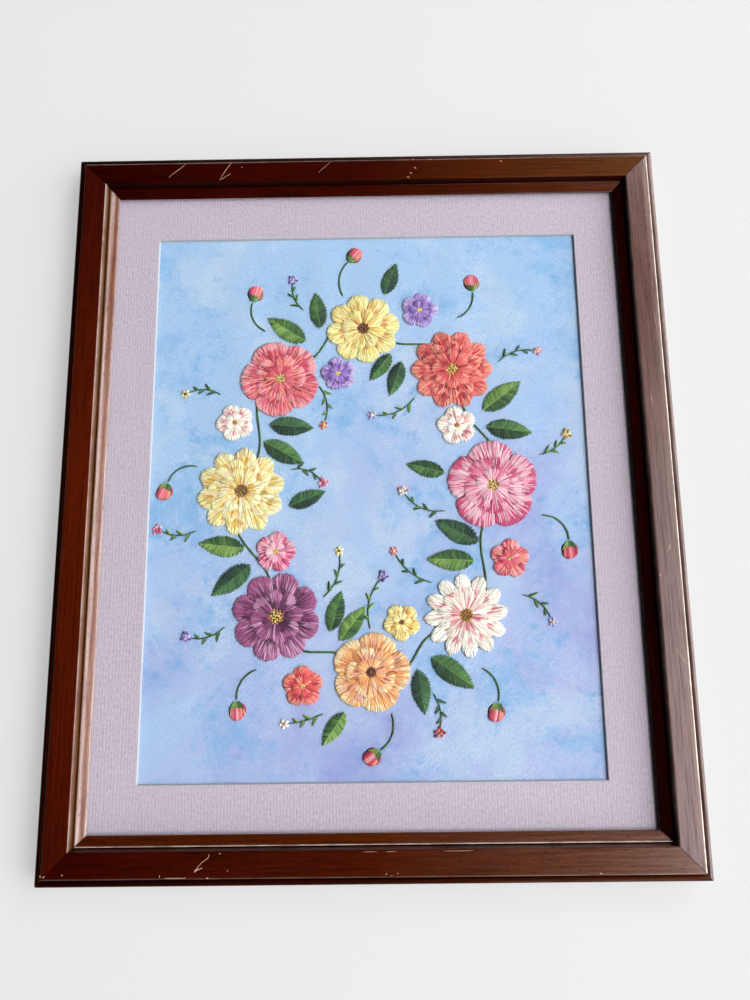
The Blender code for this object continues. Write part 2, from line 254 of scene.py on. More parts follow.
# Threads: sRGB levels out of 255, from a petal's rim to its foot, and of the knots in the flower's eye
THREADS = {
    "butter": (
        ((250, 240, 176), (246, 226, 140), (250, 240, 176), (240, 200, 110), (216, 152, 84)),
        ((128, 66, 30), (156, 92, 40)),
    ),
    "coral": (
        ((238, 128, 116), (246, 160, 140), (226, 92, 92), (206, 62, 70), (160, 36, 52)),
        ((244, 214, 120), (206, 142, 60)),
    ),
    "pink": (
        ((212, 84, 128), (240, 178, 196), (246, 204, 216), (230, 138, 168), (184, 58, 104)),
        ((250, 226, 130), (224, 168, 70)),
    ),
    "cream": (
        ((252, 248, 238), (250, 238, 226), (252, 248, 238), (240, 190, 184), (214, 120, 132)),
        ((196, 128, 46), (232, 188, 90)),
    ),
    "peach": (
        ((252, 222, 178), (246, 190, 128), (240, 162, 98), (228, 170, 150), (190, 100, 60)),
        ((118, 56, 36), (168, 98, 48)),
    ),
    "plum": (
        ((170, 92, 140), (200, 148, 182), (150, 74, 122), (112, 46, 92), (76, 28, 62)),
        ((240, 206, 110), (196, 140, 60)),
    ),
    "lemon": (
        ((252, 248, 206), (248, 238, 172), (250, 226, 190), (240, 210, 120), (214, 160, 74)),
        ((140, 80, 36), (190, 128, 54)),
    ),
    "rose": (
        ((244, 170, 176), (230, 112, 128), (212, 72, 100), (240, 150, 130), (160, 38, 68)),
        ((246, 222, 140), (220, 160, 70)),
    ),
    "lilac": (
        ((206, 188, 232), (184, 158, 218), (156, 122, 198), (126, 92, 172), (98, 66, 146)),
        ((248, 230, 150), (224, 180, 80)),
    ),
}
GREENS = (
    ((140, 176, 92), (108, 150, 70), (74, 118, 56), (48, 88, 46)),
    ((96, 142, 74), (70, 116, 58), (46, 90, 48), (30, 64, 40)),
    ((76, 122, 70), (52, 98, 58), (36, 76, 52), (24, 54, 42)),
)
STEM_GREENS = ((70, 112, 58), (50, 90, 50))

THREAD_WIDTH = 0.86 * MM
THREAD_HEIGHT = 0.68 * MM

# How flowers are built up: each ring's step above the last (mm), how much higher its foot is (mm), the eye's
# share of half the width, its height (mm) and its knots
BLOOM_BUILD = (0.36, 0.22, 0.17, 1.2, 24)
BLOSSOM_BUILD = (0.4, 0.2, 0.15, 1.1, 7)
LOWEST_RING = 0.55

GOLDEN_ANGLE = np.pi * (3 - np.sqrt(5))


def linear(colour):
    """Linear shares of sRGB levels out of 255."""
    share = np.asarray(colour, float) / 255
    return np.where(share <= 0.04045, share / 12.92, ((share + 0.055) / 1.055) ** 2.4)


def toward(angle):
    """Unit steps (..., 2) at those angles: their cosines and sines."""
    return np.stack([np.cos(angle), np.sin(angle)], -1)


def at_level(flat, level):
    """Flat places (n, 2) with one height for all of them."""
    return np.column_stack([flat, np.full(len(flat), level)])


# Meshes from arrays


def grid_faces(rows, columns, round_rows=False, round_columns=False):
    """Corner numbers (faces, 4) of a grid numbered row by row, and the rows and columns of those corners,
    which run on past the end where the grid is round, so that a pattern on them has no jump."""
    row, column = np.meshgrid(
        np.arange(rows if round_rows else rows - 1),
        np.arange(columns if round_columns else columns - 1),
        indexing="ij",
    )
    corner_rows = np.stack([row, row, row + 1, row + 1], -1).reshape(-1, 4)
    corner_columns = np.stack([column, column + 1, column + 1, column], -1).reshape(-1, 4)
    numbers = (corner_rows % rows) * columns + corner_columns % columns
    return numbers, corner_rows, corner_columns


def mesh_object(name, points, faces, uv=None, colours=None, kinds=None, attributes=None, smooth=True):
    """A mesh from points (n, 3) and a list of face arrays, each (faces, corners). uv is a list beside faces
    with (faces, corners, 2). colours (n, 3) is linear. kinds is each face array's material number."""
    mesh = bpy.data.meshes.new(name)
    corners = np.concatenate([f.ravel() for f in faces])
    sizes = np.concatenate([np.full(len(f), f.shape[1]) for f in faces])
    starts = np.concatenate([[0], np.cumsum(sizes)[:-1]])
    mesh.vertices.add(len(points))
    mesh.vertices.foreach_set("co", np.asarray(points, np.float32).ravel())
    mesh.loops.add(len(corners))
    mesh.loops.foreach_set("vertex_index", corners.astype(np.int32))
    mesh.polygons.add(len(sizes))
    mesh.polygons.foreach_set("loop_start", starts.astype(np.int32))
    if kinds is not None:
        numbers = np.concatenate([np.full(len(f), kind) for f, kind in zip(faces, kinds)])
        mesh.polygons.foreach_set("material_index", numbers.astype(np.int32))
    mesh.update(calc_edges=True)
    if uv is not None:
        layer = mesh.uv_layers.new(name="UVMap")
        flat = np.concatenate([u.reshape(-1, 2) for u in uv])
        layer.data.foreach_set("uv", flat.astype(np.float32).ravel())
    if colours is not None:
        tint = mesh.color_attributes.new("thread", "FLOAT_COLOR", "POINT")
        full = np.column_stack([colours, np.ones(len(colours))])
        tint.data.foreach_set("color", full.astype(np.float32).ravel())
    for title, values in (attributes or {}).items():
        mesh.attributes.new(title, "FLOAT", "POINT").data.foreach_set("value", values.astype(np.float32))
    mesh.validate()
    if smooth:
        mesh.shade_smooth()
    else:
        mesh.shade_flat()
    made = bpy.data.objects.new(name, mesh)
    bpy.context.scene.collection.objects.link(made)
    return made


def settle(piece, slot, *nodes):
    """The piece rides on the one body and stands for the nodes. The slot is not used."""
    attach(piece, "root")
    if nodes:
        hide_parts(*nodes)


# Materials from nodes


class Finish:
    """A material with a Principled shader, and short ways to add the nodes that feed it."""

    def __init__(self, name, roughness=0.5, **sockets):
        self.material = bpy.data.materials.new(name)
        self.material.use_nodes = True
        self.nodes = self.material.node_tree.nodes
        self.links = self.material.node_tree.links
        self.shader = self.nodes["Principled BSDF"]
        self.shader.inputs["Roughness"].default_value = roughness
        by_name = {socket.name.lower(): socket for socket in self.shader.inputs}
        for title, value in sockets.items():
            by_name[title.replace("_", " ")].default_value = value

    def node(self, kind, **settings):
        made = self.nodes.new(kind)
        for title, value in settings.items():
            setattr(made, title, value)
        return made

    def feed(self, socket, value):
        """Links a node's output to the socket, or sets a constant on it."""
        if isinstance(value, bpy.types.NodeSocket):
            self.links.new(value, socket)
        else:
            socket.default_value = value

    def coordinates(self, source, scale, shift=(0, 0, 0), turn=0.0):
        """Object or UV coordinates, turned about Z, scaled and shifted."""
        place = self.node("ShaderNodeMapping")
        place.inputs["Scale"].default_value = scale
        place.inputs["Location"].default_value = shift
        place.inputs["Rotation"].default_value = (0, 0, turn)
        self.links.new(self.node("ShaderNodeTexCoord").outputs[source], place.inputs["Vector"])
        return place.outputs["Vector"]

    def noise(self, vector, scale=1.0, detail=3.0, roughness=0.5, distortion=0.0):
        made = self.node("ShaderNodeTexNoise")
        self.feed(made.inputs["Vector"], vector)
        settings = {"Scale": scale, "Detail": detail, "Roughness": roughness, "Distortion": distortion}
        for title, value in settings.items():
            made.inputs[title].default_value = value
        return made.outputs["Fac"]

    def clouds(self, size, shift=(0, 0, 0), **settings):
        """Noise of one size in every direction of the object."""
        return self.noise(self.coordinates("Object", (size, size, size), shift), **settings)

    def math(self, operation, first, second=0.0, clamp=False):
        made = self.node("ShaderNodeMath", operation=operation, use_clamp=clamp)
        self.feed(made.inputs[0], first)
        self.feed(made.inputs[1], second)
        return made.outputs[0]

    def spread(self, value, low, high, to_low=0.0, to_high=1.0):
        """The value's range from low to high, mapped to another range and kept inside it."""
        made = self.node("ShaderNodeMapRange")
        self.feed(made.inputs["Value"], value)
        for title, number in zip(("From Min", "From Max", "To Min", "To Max"), (low, high, to_low, to_high)):
            made.inputs[title].default_value = number
        return made.outputs["Result"]

    def mix(self, share, first, second, blend="MIX"):
        """Two colours mixed by a share. A plain tuple is sRGB out of 255."""
        made = self.node("ShaderNodeMix", data_type="RGBA", blend_type=blend)
        self.feed(made.inputs["Factor"], share)
        for socket, colour in ((made.inputs[6], first), (made.inputs[7], second)):
            self.feed(socket, (*linear(colour), 1) if isinstance(colour, tuple) else colour)
        return made.outputs[2]

    def attribute(self, name, output="Fac"):
        return self.node("ShaderNodeAttribute", attribute_name=name).outputs[output]

    def bump(self, height, depth, share=1.0):
        """Bump whose full height is depth metres."""
        made = self.node("ShaderNodeBump")
        self.feed(made.inputs["Height"], height)
        made.inputs["Distance"].default_value = depth
        made.inputs["Strength"].default_value = share
        self.links.new(made.outputs["Normal"], self.shader.inputs["Normal"])

    def colour(self, value):
        self.feed(self.shader.inputs["Base Color"], value)


def wood_finish():
    """Mahogany stain under lacquer: streaks along the grain, fine dark pores and a broad figure. Of the
    attributes, warm lets red-orange through, partly the stain's own and partly painted sheen, amber paints a
    yellower brown as sheen where the light falls, haze is scuffed lacquer with painted sheen and reflection
    on it, grime darkens the quirks and the parts turned from the light, partly as dirt and partly as painted
    shade, gloss is how much lacquer is left, and pale worn wood shows where wear is high, which also paints
    bright highlight lines on edges and crests."""
    wood = Finish("stained_wood", roughness=0.45, specular_ior_level=0.22, coat_roughness=0.2)
    wood.shader.inputs["Specular Tint"].default_value = (1.0, 0.18, 0.03, 1)
    streaks = wood.noise(wood.coordinates("UV", (24, 620, 1)), detail=5, roughness=0.68)
    pores = wood.noise(wood.coordinates("UV", (210, 1350, 1)), detail=3, roughness=0.6)
    figure = wood.noise(wood.coordinates("UV", (9, 45, 1)), detail=2, distortion=0.6)
    body = wood.mix(wood.spread(streaks, 0.36, 0.64), (7, 0, 0), (48, 1, 0))
    body = wood.mix(wood.spread(figure, 0.35, 0.7, 0, 0.35), body, (62, 5, 1))
    grain = wood.spread(streaks, 0.36, 0.64, 0.62, 1.38)
    # Warm, amber and haze mixes: sheen painted into the colour on the parts that face the light, over the
    # stain's own red and scuffed lacquer
    for look, colour in (("warm_and_sheen", (98, 27, 4)), ("amber_sheen", (112, 70, 16)), ("haze_and_sheen", (168, 150, 144))):
        body = wood.mix(wood.math("MULTIPLY", wood.attribute(look), grain, clamp=True), body, colour)
    body = wood.mix(wood.spread(pores, 0.54, 0.70, 0, 0.7), body, (14, 1, 1))
    # Painted shade: near-black where grime is high, in the quirks and on the parts turned from the light,
    # with some dirt in the quirks
    body = wood.mix(wood.math("MULTIPLY", wood.attribute("grime_and_shade"), 0.85), body, (8, 0, 0))
    patchy = wood.noise(wood.coordinates("UV", (48, 20, 1)), detail=5, roughness=0.7)
    patchy = wood.spread(patchy, 0.42, 0.58, 0.45, 1.0)
    # Pale worn wood, which also paints bright highlight lines on edges and crests
    rubbed_and_highlit = wood.math("MULTIPLY", wood.attribute("wear_and_highlight"), patchy, clamp=True)
    wood.colour(wood.mix(rubbed_and_highlit, body, (224, 208, 196)))
    sheen = wood.spread(streaks, 0.36, 0.64, 0.55, 1.3)
    lacquer = wood.math("MULTIPLY", wood.attribute("gloss"), sheen, clamp=True)
    wood.feed(wood.shader.inputs["Coat Weight"], lacquer)
    wood.bump(wood.math("ADD", streaks, wood.math("MULTIPLY", pores, -0.8)), 0.07 * MM)
    return wood.material


def bare_wood_finish():
    """Pale wood where the lacquer is knocked off, a little uneven."""
    bare = Finish("bare_wood", roughness=0.6)
    patches = bare.clouds(900)
    bare.colour(bare.mix(patches, (196, 164, 136), (150, 112, 84)))
    bare.bump(patches, 0.03 * MM)
    return bare.material


def mat_finishes():
    """Ribbed pink paper, with fine upright ribs broken up by fainter ones across, and the board's pale
    core."""
    paper = Finish("mat_paper", roughness=0.85)
    ribs = paper.node("ShaderNodeTexWave", wave_type="BANDS", bands_direction="X")
    paper.feed(ribs.inputs["Vector"], paper.coordinates("Object", (1, 0.6, 1)))
    ribs.inputs["Scale"].default_value = TAU / 20 / (2.0 * MM)
    ribs.inputs["Distortion"].default_value = 2.2
    ribs.inputs["Detail"].default_value = 2
    ribs.inputs["Detail Scale"].default_value = 0.9
    flecks = paper.noise(paper.coordinates("Object", (640, 440, 1)), detail=3, roughness=0.6)
    coarse = paper.math("MULTIPLY", ribs.outputs["Fac"], 0.15)
    weave = paper.math("ADD", coarse, paper.math("MULTIPLY", flecks, 0.85))
    clouds = paper.clouds(9, detail=2)
    pink = paper.mix(paper.spread(weave, 0.30, 0.70), (174, 160, 173), (200, 188, 202))
    paper.colour(paper.mix(paper.spread(clouds, 0.4, 0.7, 0, 0.25), pink, (190, 173, 189)))
    paper.bump(weave, 0.14 * MM)
    core = Finish("mat_core", roughness=0.8)
    fibres = core.clouds(700)
    core.colour(core.mix(fibres, (176, 180, 184), (164, 166, 170)))
    core.bump(fibres, 0.03 * MM)
    return paper.material, core.material


def cloth_finish():
    """Fine twill under a water-colour wash: sky blue with deeper mottling, and lilac and violet pools low
    down."""
    cloth = Finish("printed_cloth", roughness=0.9, sheen_weight=0.1, sheen_roughness=0.4)
    place = cloth.node("ShaderNodeSeparateXYZ")
    cloth.links.new(cloth.node("ShaderNodeTexCoord").outputs["Object"], place.inputs[0])
    slope = cloth.math("ADD", place.outputs["Y"], cloth.math("MULTIPLY", place.outputs["X"], -0.5))
    drift = cloth.clouds(7, (3, 1, 0), detail=3, distortion=0.8)
    lean = cloth.math("ADD", slope, cloth.spread(drift, 0.25, 0.75, -0.14, 0.14))
    wash = cloth.mix(cloth.spread(lean, -0.20, 0.06), (190, 198, 234), (179, 210, 241))
    pools = cloth.clouds(17, (9, 4, 0), detail=8, roughness=0.72, distortion=0.6)
    wash = cloth.mix(cloth.spread(pools, 0.49, 0.60, 0, 0.7), wash, (206, 222, 240))
    deep = cloth.clouds(15, (2, 8, 0), detail=10, roughness=0.78, distortion=0.3)
    wash = cloth.mix(cloth.spread(deep, 0.51, 0.60, 0, 0.8), wash, (134, 186, 230))
    spots = cloth.clouds(150, (7, 2, 0), detail=4, roughness=0.7)
    share = cloth.math("MULTIPLY", cloth.spread(spots, 0.54, 0.64, 0, 0.7), cloth.spread(deep, 0.46, 0.56))
    wash = cloth.mix(share, wash, (112, 174, 224))
    low = cloth.spread(slope, 0.06, -0.16)
    violet = cloth.clouds(8, (5, 5, 0), detail=5, roughness=0.6, distortion=0.9)
    share = cloth.math("MULTIPLY", cloth.spread(violet, 0.46, 0.66, 0, 0.8), low)
    wash = cloth.mix(share, wash, (158, 140, 208))
    rosy = cloth.clouds(12, (1, 3, 0), detail=5, roughness=0.6, distortion=0.7)
    share = cloth.math("MULTIPLY", cloth.spread(rosy, 0.56, 0.70, 0, 0.45), low)
    wash = cloth.mix(share, wash, (206, 166, 214))
    twill = cloth.node("ShaderNodeTexWave", wave_type="BANDS", bands_direction="X")
    cloth.feed(twill.inputs["Vector"], cloth.coordinates("Object", (1, 1, 1), turn=np.radians(48)))
    twill.inputs["Scale"].default_value = TAU / 20 / (1.3 * MM)
    twill.inputs["Distortion"].default_value = 0.5
    yarns = cloth.noise(cloth.coordinates("Object", (1100, 500, 1)), detail=2)
    ridges = cloth.math("MULTIPLY", twill.outputs["Fac"], cloth.spread(yarns, 0.3, 0.7, 0.4, 1.6))
    cloth.colour(cloth.mix(cloth.math("MULTIPLY", ridges, 0.55), wash, (122, 152, 204)))
    cloth.bump(ridges, 0.2 * MM)
    return cloth.material


def thread_finish():
    """Stranded cotton with a soft lustre: the attribute thread gives each stitch its dye, and three strands
    twist slowly along it."""
    thread = Finish("thread", roughness=0.5, sheen_weight=0.3, sheen_roughness=0.35)
    thread.colour(thread.attribute("thread", "Color"))
    strands = thread.node("ShaderNodeTexWave", wave_type="BANDS", bands_direction="Y")
    thread.feed(strands.inputs["Vector"], thread.coordinates("UV", (1, 1, 1), turn=np.radians(12)))
    strands.inputs["Scale"].default_value = TAU / 20 * 6
    thread.bump(strands.outputs["Fac"], 0.06 * MM)
    return thread.material


def glass_finish():
    """Clear low-glare glass: what lies behind shows through, under a faint clean reflection that grows as
    the fifth power of how far the pane turns away."""
    glass = Finish("clear_glass")
    glass.nodes.remove(glass.shader)
    through = glass.node("ShaderNodeBsdfTransparent")
    through.inputs["Color"].default_value = (0.992, 0.998, 0.996, 1)
    mirror = glass.node("ShaderNodeBsdfGlossy")
    mirror.inputs["Roughness"].default_value = 0.02
    turned = glass.node("ShaderNodeLayerWeight")
    turned.inputs["Blend"].default_value = 0.5
    fifth = glass.math("POWER", turned.outputs["Facing"], 5)
    both = glass.node("ShaderNodeMixShader")
    links = (glass.spread(fifth, 0, 1, 0.03, 0.12), through.outputs[0], mirror.outputs[0])
    for socket, value in zip(both.inputs, links):
        glass.feed(socket, value)
    glass.links.new(both.outputs[0], glass.nodes["Material Output"].inputs["Surface"])
    return glass.material


def board_finish():
    """Brown hardboard with pressed fibres."""
    board = Finish("hardboard", roughness=0.8)
    fibres = board.clouds(260, detail=5, roughness=0.7)
    clouds = board.clouds(12)
    brown = board.mix(board.spread(fibres, 0.35, 0.65), (112, 82, 56), (142, 108, 76))
    board.colour(board.mix(board.spread(clouds, 0.4, 0.7, 0, 0.3), brown, (124, 88, 58)))
    board.bump(fibres, 0.08 * MM)
    return board.material


# Moulding


def arc(centre, radii, start, end, steps):
    """Points round an ellipse: its centre plus its radii times the angle's cosine and sine."""
    angle = np.radians(np.linspace(start, end, steps + 1))
    return np.array(centre) + np.array(radii) * toward(angle)


def moulding_section():
    """(inset, height) round the moulding, and the share of each of its parts at each point: the face's outer
    edge, the crest inside the groove, the outside with its bead, the quirks, the wall, the inner arris, the
    slope's top, a stripe on it, its foot, the slope, the face and the face's rise towards its outer edge."""
    bead = arc((BEAD_RADIUS, SIDE_HEIGHT), (BEAD_RADIUS, BEAD_RADIUS), 180, 30, 15)
    step = np.array([(4.1, 16.42), (4.35, 16.5), (4.5, 18.7), (4.65, 19.15), (4.85, 19.33)]) * MM
    share = np.array([0, 0.02, 0.05, 0.1, 0.3, 0.5, 0.7, 0.9, 0.97, 1])[:, None]
    face = np.array(FACE_OUTER) * (1 - share) + np.array(FACE_INNER) * share
    arris = arc((FACE_INNER[0], FACE_INNER[1] - ARRIS_RADIUS), (ARRIS_RADIUS, ARRIS_RADIUS), 90, 0, 9)[1:]
    wall = np.array([(-0.8, 1.6), (-0.3, 0.3), (0, 0)]) * MM + GROOVE
    crest = arc((GROOVE[0] + 0.6 * MM, GROOVE[1] + 0.3 * MM), (0.45 * MM, 0.45 * MM), 180, 66, 7)
    run = np.linspace(0, 1, 13)[1:, None]
    tilt = np.radians(24 + 18 * run)
    reach = RAIL_WIDTH - 0.5 * MM - crest[-1, 0]
    drop = np.cumsum(np.tan(tilt) * reach / len(run), axis=0)
    slope = crest[-1] + np.hstack([run * reach, -drop])
    sight = np.array([(-0.15, -0.35), (0, -0.6)]) * MM + (RAIL_WIDTH, slope[-1, 1])
    inner = RAIL_WIDTH - LIP_COVER
    rebate = np.array([(RAIL_WIDTH, LIP_UNDERSIDE), (inner, LIP_UNDERSIDE), (inner, 0), (0, 0)])
    points = np.concatenate([bead, step, face, arris, wall, crest, slope, sight, rebate])
    inset, height = points.T / MM

    def band(middle, width, low, high):
        return np.exp(-(((inset - middle) / width) ** 2)) * (height > low) * (height < high)

    step_shade = band(4.2, 0.6, 14, 18.5)
    wall_shade = (inset > 20.35) * (inset < 22) * (height > 14.5)
    marks = {
        "edge": band(5.0, 0.3, 18, 21),
        "crest": band(22.25, 0.28, 16.1, 21),
        "outside": (inset < 4.1) * (height > 5) * 1.0,
        "quirk": np.clip(step_shade + band(21.8, 0.5, 14, 16.2), 0, 1),
        "wall": wall_shade * 1.0,
        "arris": band(20.15, 0.3, 19.3, 21),
        "high": band(23.6, 0.8, 12.3, 16.2),
        "stripe": band(25.9, 0.7, 12.3, 16),
        "sight": (inset > 27.1) * (height > 12.25) * 1.0,
        "slope": (inset > 22.5) * (height > 12.25) * 1.0,
        "face": ((inset > 4.3) & (inset < 20.4) & (height > 18.6)) * 1.0,
        "rise": np.clip((9.0 - inset) / 4.0, 0, 1) * (inset > 4.3) * (height > 18.6),
    }
    return points, marks


def rail(name, length, turn, looks, material):
    """The moulding's section carried along a straight path between two 45 degree mitres: the point at share
    s of the way, from -1 to 1, lies at s times half the length less its inset. The rail is then turned into
    its place. Each look is a sum over its parts: the part's share times its level, which may change on the
    way."""
    section, marks = moulding_section()
    side = np.linspace(-1, 1, RAIL_STATIONS)[:, None]
    set_back = MITRE_AIR / 2 * np.sqrt(2)
    along = side * (length / 2 - section[:, 0] - set_back)
    reach = (FRAME_HEIGHT if length == FRAME_WIDTH else FRAME_WIDTH) / 2
    inset = np.broadcast_to(section[:, 0], along.shape) - reach
    height = np.broadcast_to(section[:, 1], along.shape)
    cosine, sine = round(np.cos(turn)), round(np.sin(turn))
    points = np.stack([along * cosine - inset * sine, along * sine + inset * cosine, height], -1)
    rows, columns = along.shape
    faces, corner_rows, corner_columns = grid_faces(rows, columns, round_columns=True)
    girth = np.concatenate([[0], np.cumsum(np.linalg.norm(np.roll(section, -1, 0) - section, axis=1))])
    run = (corner_rows / (rows - 1) - 0.5) * length + 2.0 * turn
    uv = [np.stack([run, girth[corner_columns]], -1)]
    ends = np.array([np.arange(columns)[::-1], (rows - 1) * columns + np.arange(columns)])
    uv.append(np.stack([points.reshape(-1, 3)[ends][..., 0], points.reshape(-1, 3)[ends][..., 2]], -1))

    def aged_and_lit(parts):
        total = 0
        for part, levels in parts.items():
            total += np.interp(side, [-1, 0, 1], np.broadcast_to(levels, 3)) * marks[part]
        return total.ravel()

    made = mesh_object(
        name,
        points.reshape(-1, 3),
        [faces[:, ::-1], ends[:, ::-1]],
        [uv[0][:, ::-1], uv[1][:, ::-1]],
        attributes={look: aged_and_lit(parts) for look, parts in looks.items()},
    )
    made.data.set_sharp_from_angle(angle=np.radians(38))
    made.data.materials.append(material)
    settle(made, "wood", name)


def make_scratches():
    """Scratches and chips on the rails' faces: each is a flat tube that tapers to both ends, laid on the
    face at a height in proportion to its inset."""
    points, faces, uv = [], [], []
    for width, *marks in SCRATCHES:
        for mark in marks:
            run = np.linspace(0, len(mark) - 1, 9)
            steps = np.arange(len(mark))
            flat = np.stack([np.interp(run, steps, places) for places in zip(*mark)], -1) * MM
            inset = np.minimum(FRAME_WIDTH / 2 - np.abs(flat[:, 0]), FRAME_HEIGHT / 2 - np.abs(flat[:, 1]))
            height = np.interp(inset, *zip(FACE_OUTER, FACE_INNER))
            path = np.column_stack([flat, height])[None]
            taper = np.sin(np.linspace(0.12, 0.9, 9) * np.pi)[None] * width / 2 * MM
            made, sides, around = tubes(path, taper, np.full((1, 9), 0.06 * MM))
            start = sum(len(one) for one in points)
            points.append(made)
            faces += [side + start for side in sides]
            uv += around
    scratches = mesh_object("scratches", np.concatenate(points), faces, uv)
    scratches.data.materials.append(bare_wood_finish())
    settle(scratches, "wood")


def make_rails():
    wood = wood_finish()
    for name, length, turn, looks in (
        ("rail_bottom", FRAME_WIDTH, 0.0, BOTTOM_LOOKS),
        ("rail_right", FRAME_HEIGHT, TAU / 4, RIGHT_LOOKS),
        ("rail_top", FRAME_WIDTH, TAU / 2, TOP_LOOKS),
        ("rail_left", FRAME_HEIGHT, 3 * TAU / 4, LEFT_LOOKS),
    ):
        rail(name, length, turn, looks, wood)


# Mat, cloth, glass and board


def make_mat():
    """The mat's section carried round the window: outer edge, face, steep bevel, underside. Each point is a
    rectangle's corner at half its width and height."""
    half = np.array([WINDOW_WIDTH, WINDOW_HEIGHT]) / 2
    outer = np.array([MAT_HIGH.x, MAT_HIGH.y])
    thick = MAT_HIGH.z - MAT_LOW.z
    rings = (
        (outer, MAT_LOW.z, 0),
        (outer, MAT_HIGH.z, 0),
        (half + 0.15 * MM, MAT_HIGH.z, 1),
        (half, MAT_HIGH.z - 0.1 * MM, 1),
        (half - 0.4 * thick, MAT_LOW.z, 0),
    )
    signs = np.array([(1, 1), (-1, 1), (-1, -1), (1, -1)])
    points = np.array([[(*(signs[i] * size), z) for i in range(4)] for size, z, _ in rings])
    drop = np.array([0, 0, 1, 1, 1]) * WINDOW_DROP
    points[..., 1] -= drop[:, None]
    faces, corner_rows, _ = grid_faces(len(rings), 4, round_rows=True, round_columns=True)
    bevel = (corner_rows[:, 0] == 2) | (corner_rows[:, 0] == 3)
    faces = [faces[~bevel], faces[bevel]]
    made = mesh_object("mat_board", points.reshape(-1, 3), faces, kinds=[0, 1], smooth=False)
    for finish in mat_finishes():
        made.data.materials.append(finish)
    settle(made, "mat_board", "mat")


def cloth_rise(x, y):
    """How far the cloth stands above its flat height: upright puckers that fade out towards the window's
    edges, a sum of sines whose phase drifts with height."""
    edge = np.clip((WINDOW_WIDTH / 2 - np.abs(x)) / (14 * MM), 0, 1) * np.clip(
        (WINDOW_HEIGHT / 2 - np.abs(y + WINDOW_DROP)) / (14 * MM), 0, 1
    )
    drift = 0.006 * np.sin(y * 21 + 0.5) + 0.003 * np.sin(y * 55)
    wave = np.sin((x + drift) * TAU / 0.047) + 0.6 * np.sin((x - drift) * TAU / 0.029 + 1.3)
    stronger = 0.35 + 0.65 * np.clip((y - 0.02) / 0.12, 0, 1)
    return 0.16 * MM * edge * stronger * wave


def make_cloth():
    """A grid over the cloth's flat size, lifted by its puckers; Solidify gives it its thickness."""
    x = np.linspace(CLOTH_LOW.x, CLOTH_HIGH.x, 120)
    y = np.linspace(CLOTH_LOW.y, CLOTH_HIGH.y, 146)
    across, up = np.meshgrid(x, y)
    points = np.stack([across, up, CLOTH_TOP + cloth_rise(across, up)], -1)
    faces, _, _ = grid_faces(len(y), len(x))
    made = mesh_object("stretched_cloth", points.reshape(-1, 3), [faces])
    made.data.materials.append(cloth_finish())
    thickness = made.modifiers.new("thickness", "SOLIDIFY")
    thickness.thickness = CLOTH_HIGH.z - CLOTH_LOW.z
    thickness.offset = -1
    settle(made, "cloth", "cloth")


def finish_plain_nodes():
    """The pane and the backing board keep their solids' shape and get their finishes."""
    for node, finish in (("glass", glass_finish()), ("backing_board", board_finish())):
        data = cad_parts[node].data
        data.materials.clear()
        data.materials.append(finish)


# Stitches


def tubes(paths, half_widths, half_heights, corners=6):
    """Tubes along paths (tubes, stations, 3). A corner at angle a round a station lies at the station, plus
    the level side direction times half the width and cos a, plus the upright times half the height and sin
    a. Returns points, faces and their UVs, the run along a tube in metres over the thread's width and the
    share round it."""
    count, stations, _ = paths.shape
    ahead = np.gradient(paths, axis=1)
    side = np.stack([-ahead[..., 1], ahead[..., 0], np.zeros(ahead.shape[:2])], -1)
    side /= np.linalg.norm(side, axis=-1, keepdims=True) + 1e-12
    angle = TAU * (np.arange(corners) / corners + 0.25)
    level = side[:, :, None] * half_widths[..., None, None] * np.cos(angle)[:, None]
    upright = half_heights[..., None, None] * np.sin(angle)[:, None] * np.array([0, 0, 1.0])
    points = paths[:, :, None] + level + upright
    one, rows, columns = grid_faces(stations, corners, round_columns=True)
    starts = (np.arange(count) * stations * corners)[:, None, None]
    around = (one + starts).reshape(-1, 4)
    last = (stations - 1) * corners
    caps = np.stack([np.arange(corners)[::-1], last + np.arange(corners)]) + starts
    length = np.linalg.norm(np.diff(paths, axis=1), axis=-1).sum(1) / THREAD_WIDTH
    run = rows / (stations - 1) * length[:, None, None]
    uv_around = np.stack([run, np.broadcast_to(columns / corners, run.shape)], -1).reshape(-1, 4, 2)
    uv_caps = np.zeros((count * 2, corners, 2))
    return points.reshape(-1, 3), [around, caps.reshape(-1, corners)], [uv_around, uv_caps]


